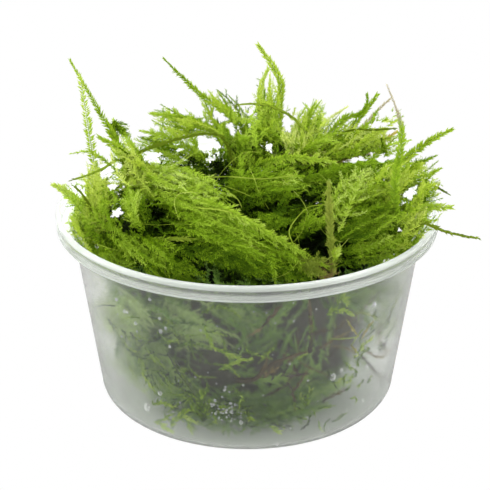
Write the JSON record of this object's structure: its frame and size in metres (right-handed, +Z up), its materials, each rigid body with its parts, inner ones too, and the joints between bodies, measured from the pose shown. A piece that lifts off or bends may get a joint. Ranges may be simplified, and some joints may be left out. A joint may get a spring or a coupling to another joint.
{
  "type": "potted java moss",
  "caption": "Clump of java moss heaped in a round see-through plastic tub, with loose shoots standing out.",
  "frame": {"origin": "centre of the flat underside of the tub", "axes": "+Z up along the tub's axis, -Y towards the side that the picture shows"},
  "size_m": [0.1103, 0.1015, 0.0918],
  "materials": {
    "tub_plastic": "translucent natural polypropylene, moulded smooth",
    "moss_tangle": "matted wet moss, dark in its hollows",
    "moss_leaf": "fresh yellow-green leafy shoots",
    "pale_moss": "pale young shoots",
    "moss_stem": "thin bare green stems",
    "old_moss": "old brownish-yellow shoots"
  },
  "bodies": {
    "root": {"tub": "tub_plastic", "moss_heap": "moss_tangle", "shoot_left_tall": "moss_leaf", "shoot_left_feather": "moss_leaf", "shoot_left_curl": "moss_leaf", "shoot_left_branch": "moss_leaf", "shoot_left_low": "moss_leaf", "stem_left_upper": "moss_stem", "stem_left_lower": "moss_stem", "frond_left_broad": "moss_leaf", "frond_left_lower": "moss_leaf", "stem_arch": "moss_stem", "shoot_middle_tall": "moss_leaf", "tip_middle_left": "moss_leaf", "tip_middle_right": "moss_leaf", "shoot_top": "moss_leaf", "shoot_top_side": "moss_leaf", "stem_top_arch": "moss_stem", "tip_middle": "moss_leaf", "shoot_back_pale": "pale_moss", "shoot_fork_left": "moss_leaf", "shoot_fork_right": "moss_leaf", "shoot_right_tall": "moss_leaf", "shoot_right_pale": "pale_moss", "stem_right_arch": "moss_stem", "frond_right_old": "old_moss", "shoot_right_up": "moss_leaf", "shoot_right_middle": "moss_leaf", "stem_right": "moss_stem", "shoot_right_thick": "moss_leaf", "tip_right_low": "moss_leaf", "stem_right_reach": "moss_stem", "frond_centre": "moss_leaf", "frond_front_long": "moss_leaf", "stem_front_arch": "moss_stem", "shoot_brown": "old_moss", "shoot_back_1": "moss_leaf", "shoot_back_2": "moss_leaf", "shoot_back_3": "moss_leaf", "shoot_back_4": "moss_leaf", "shoot_back_5": "moss_leaf", "shoot_back_6": "moss_leaf"}
  },
  "joints": []
}
